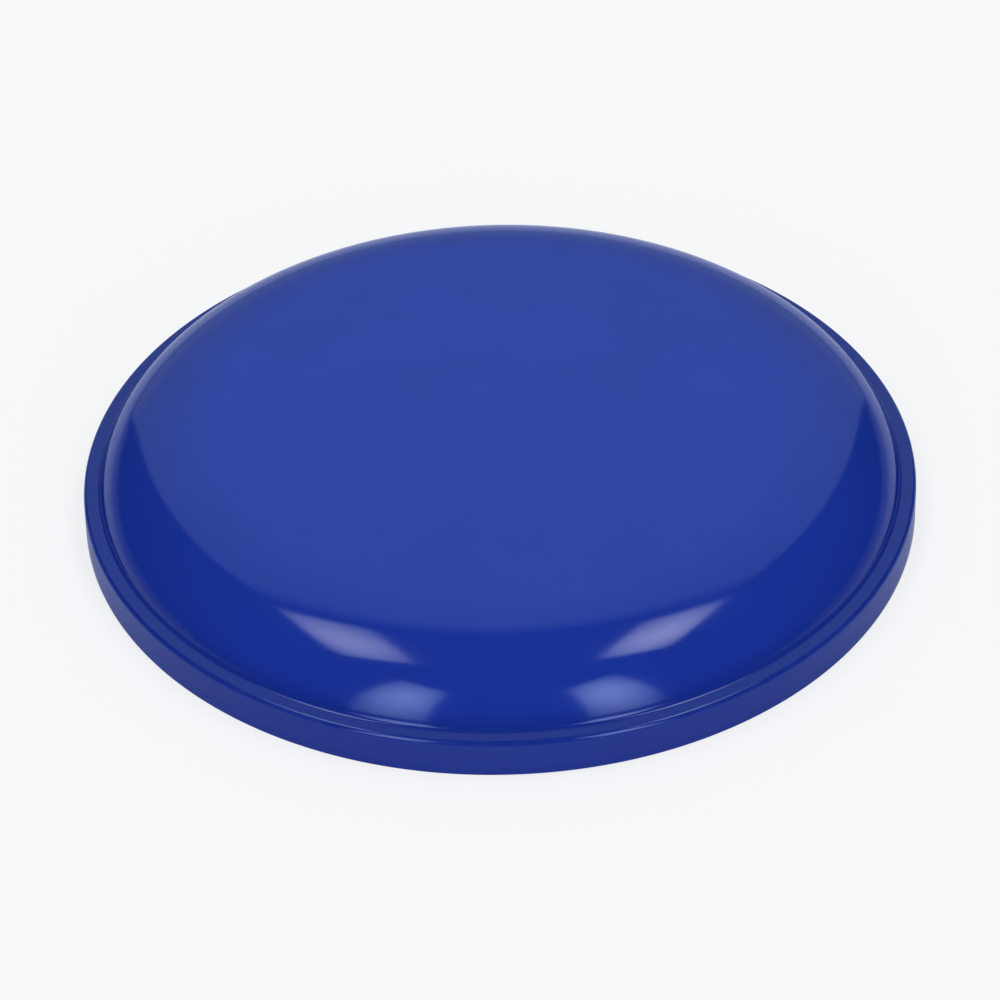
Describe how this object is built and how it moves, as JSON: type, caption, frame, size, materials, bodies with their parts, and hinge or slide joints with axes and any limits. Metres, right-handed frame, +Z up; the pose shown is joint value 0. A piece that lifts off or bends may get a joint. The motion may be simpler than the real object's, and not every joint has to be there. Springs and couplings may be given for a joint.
{
  "type": "flying disc",
  "caption": "Round throwing disc: one moulded plastic shell with a wide flat top, rounded shoulder, narrow sloping ledge and upright rim, open underneath.",
  "frame": {"origin": "centre of the circle that the rim rests on", "axes": "+Z up along the disc's own axis, from the open underside to the top plate"},
  "size_m": [0.2202, 0.2202, 0.0274],
  "materials": {
    "disc_plastic": "glossy royal blue moulded polypropylene"
  },
  "bodies": {
    "root": {"disc": "disc_plastic"}
  },
  "joints": []
}
